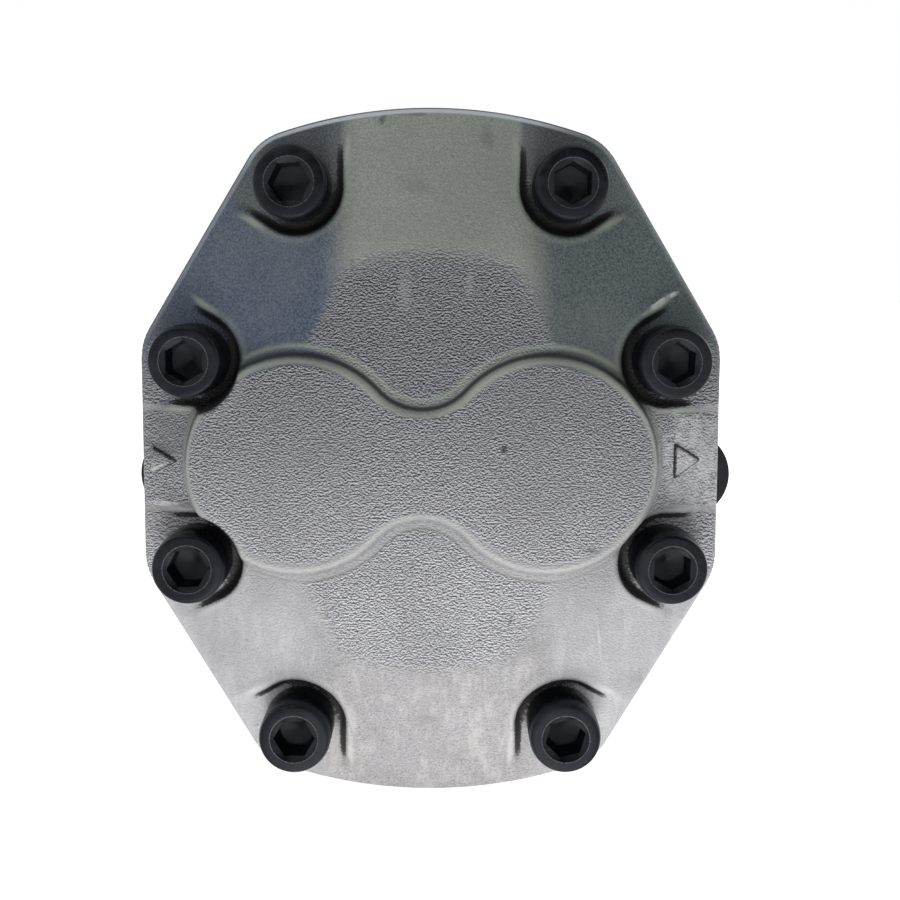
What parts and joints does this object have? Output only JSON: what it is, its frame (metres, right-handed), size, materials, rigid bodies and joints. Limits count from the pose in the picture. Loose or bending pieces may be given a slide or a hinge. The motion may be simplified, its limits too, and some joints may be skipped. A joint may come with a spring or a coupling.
{
  "type": "external gear pump",
  "caption": "External gear hydraulic pump with a cast rear cover, ported aluminium body, black two-bolt flange and splined drive shaft; the meshed gears turn.",
  "frame": {"origin": "on the drive shaft axis at the mounting face of the front flange", "axes": "+Y along the drive shaft away from the pump, +Z from the drive gear towards the driven gear, +X towards the outlet port; the cast rear cover faces -Y"},
  "size_m": [0.213, 0.1964, 0.1781],
  "materials": {
    "cast_aluminium": "rough grey casting",
    "machined_aluminium": "satin machined",
    "black_cast_iron": "black, slightly rough",
    "black_oxide_steel": "black oxide",
    "ground_steel": "ground and hardened",
    "bearing_bronze": "dull bronze",
    "black_rubber": "matt black rubber",
    "brown_rubber": "dark brown rubber",
    "white_plastic": "off-white low-friction plastic"
  },
  "bodies": {
    "housing": {"rear_cover": "cast_aluminium", "cover_screws": "black_oxide_steel", "front_flange": "black_cast_iron", "pump_body": "machined_aluminium", "front_bearing_block": "machined_aluminium", "rear_bearing_block": "machined_aluminium", "drive_front_bush": "bearing_bronze", "drive_rear_bush": "bearing_bronze", "driven_front_bush": "bearing_bronze", "driven_rear_bush": "bearing_bronze", "front_block_seal": "black_rubber", "rear_block_seal": "black_rubber", "front_backup_ring": "white_plastic", "rear_backup_ring": "white_plastic", "front_body_seal": "black_rubber", "rear_body_seal": "black_rubber", "shaft_seal": "brown_rubber", "seal_spring": "ground_steel", "seal_spacer": "ground_steel", "dust_seal": "brown_rubber", "seal_retaining_ring": "black_oxide_steel", "front_dowels": "ground_steel", "rear_dowels": "ground_steel"},
    "drive_shaft": {"drive_gear_shaft": "ground_steel"},
    "driven_shaft": {"driven_gear_shaft": "ground_steel"}
  },
  "joints": [
    {"name": "drive_spin", "type": "hinge", "parent": "housing", "child": "drive_shaft", "pos_m": [0, 0, 0], "axis": [0, -1, 0], "continuous": true},
    {"name": "driven_spin", "type": "hinge", "parent": "housing", "child": "driven_shaft", "pos_m": [0, 0, 0.056], "axis": [0, -1, 0], "continuous": true}
  ],
  "couplings": [
    {"joint": "driven_spin", "follows": "drive_spin", "ratio": -1}
  ]
}
